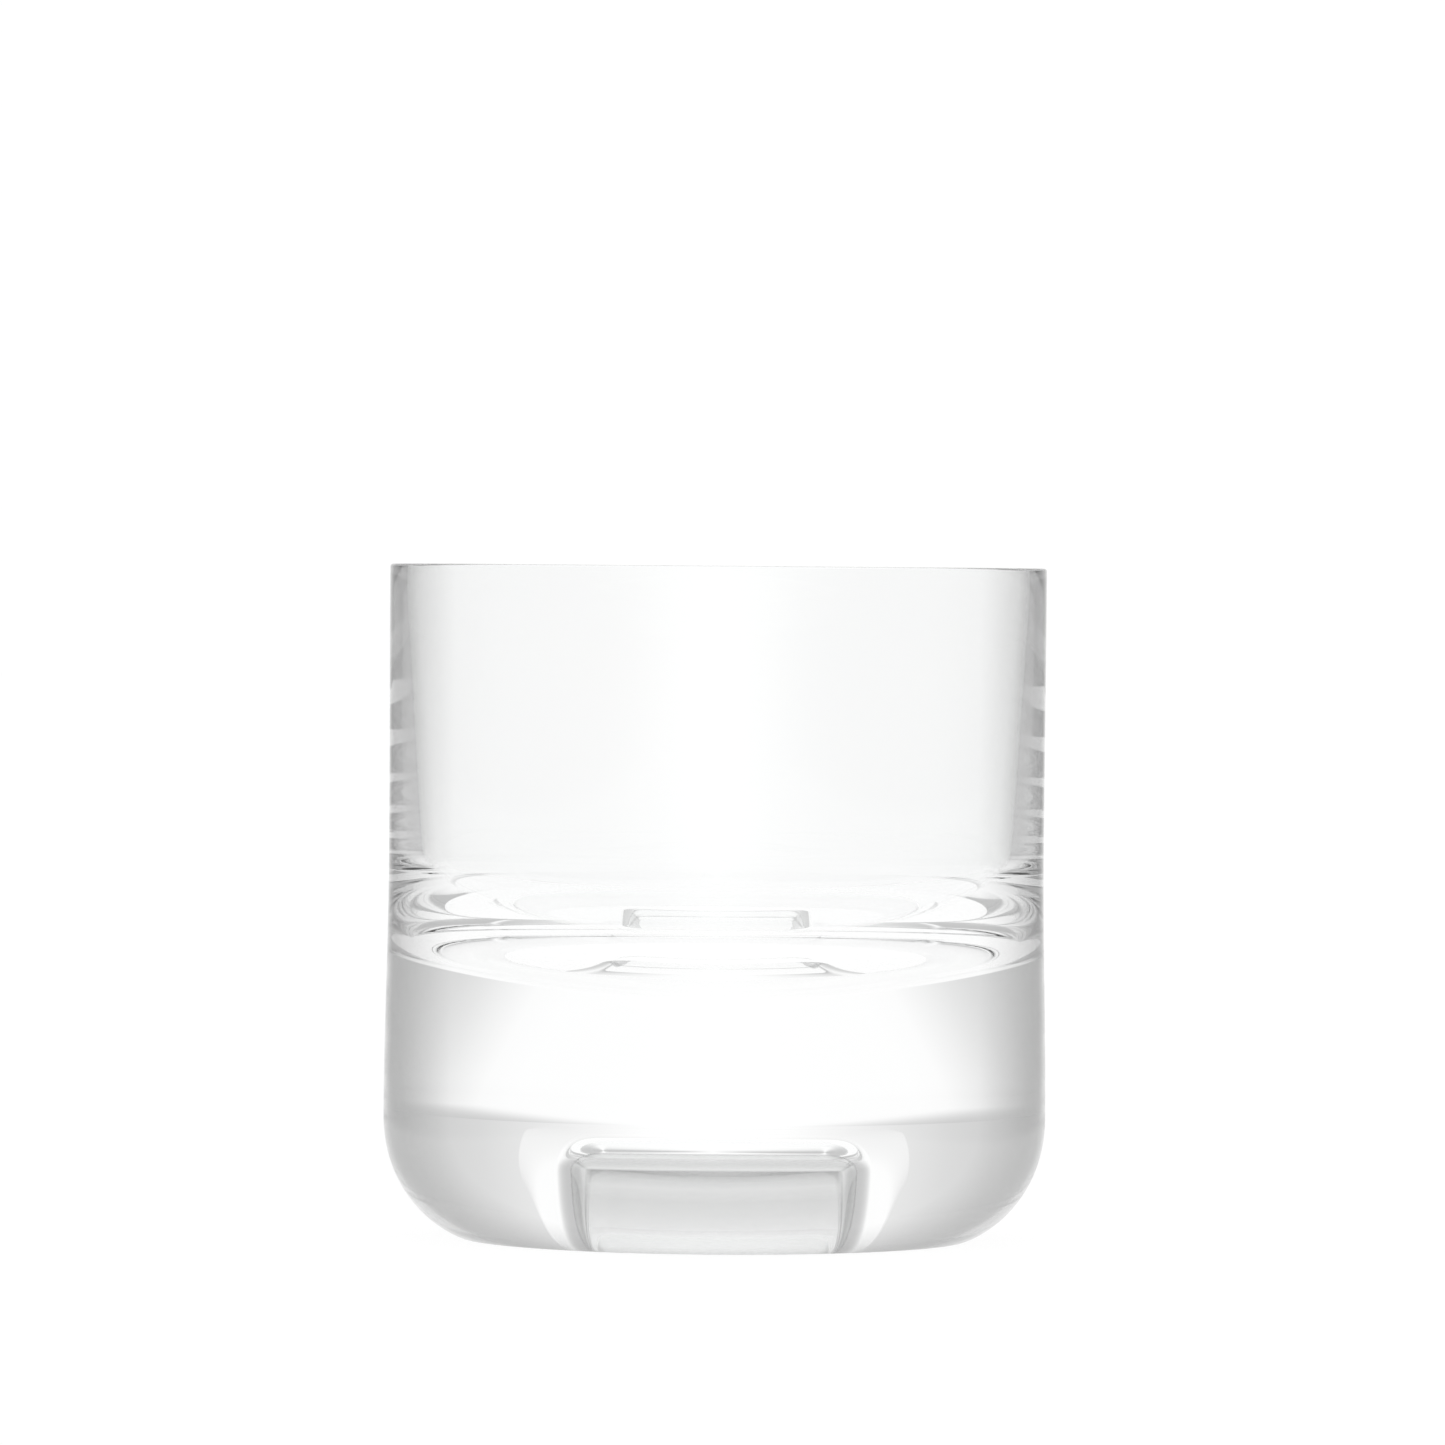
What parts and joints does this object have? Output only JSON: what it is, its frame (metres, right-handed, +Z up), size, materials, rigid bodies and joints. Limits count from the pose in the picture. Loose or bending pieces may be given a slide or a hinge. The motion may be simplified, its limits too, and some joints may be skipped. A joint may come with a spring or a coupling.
{
  "type": "whiskey tumbler",
  "caption": "Straight-sided clear glass whiskey tumbler with a thin-walled bowl fused to a thick round-cornered base, and a square punt pressed into its foot.",
  "frame": {"origin": "centre of the foot, on the surface that the glass stands on", "axes": "+Z up along the axis of revolution; the glass is seen from -Y with +X to the right, and the punt's sides lie along X and Y"},
  "size_m": [0.0816, 0.0816, 0.0828],
  "materials": {
    "clear_glass": "polished"
  },
  "bodies": {
    "root": {"bowl": "clear_glass", "heavy_base": "clear_glass"}
  },
  "joints": []
}
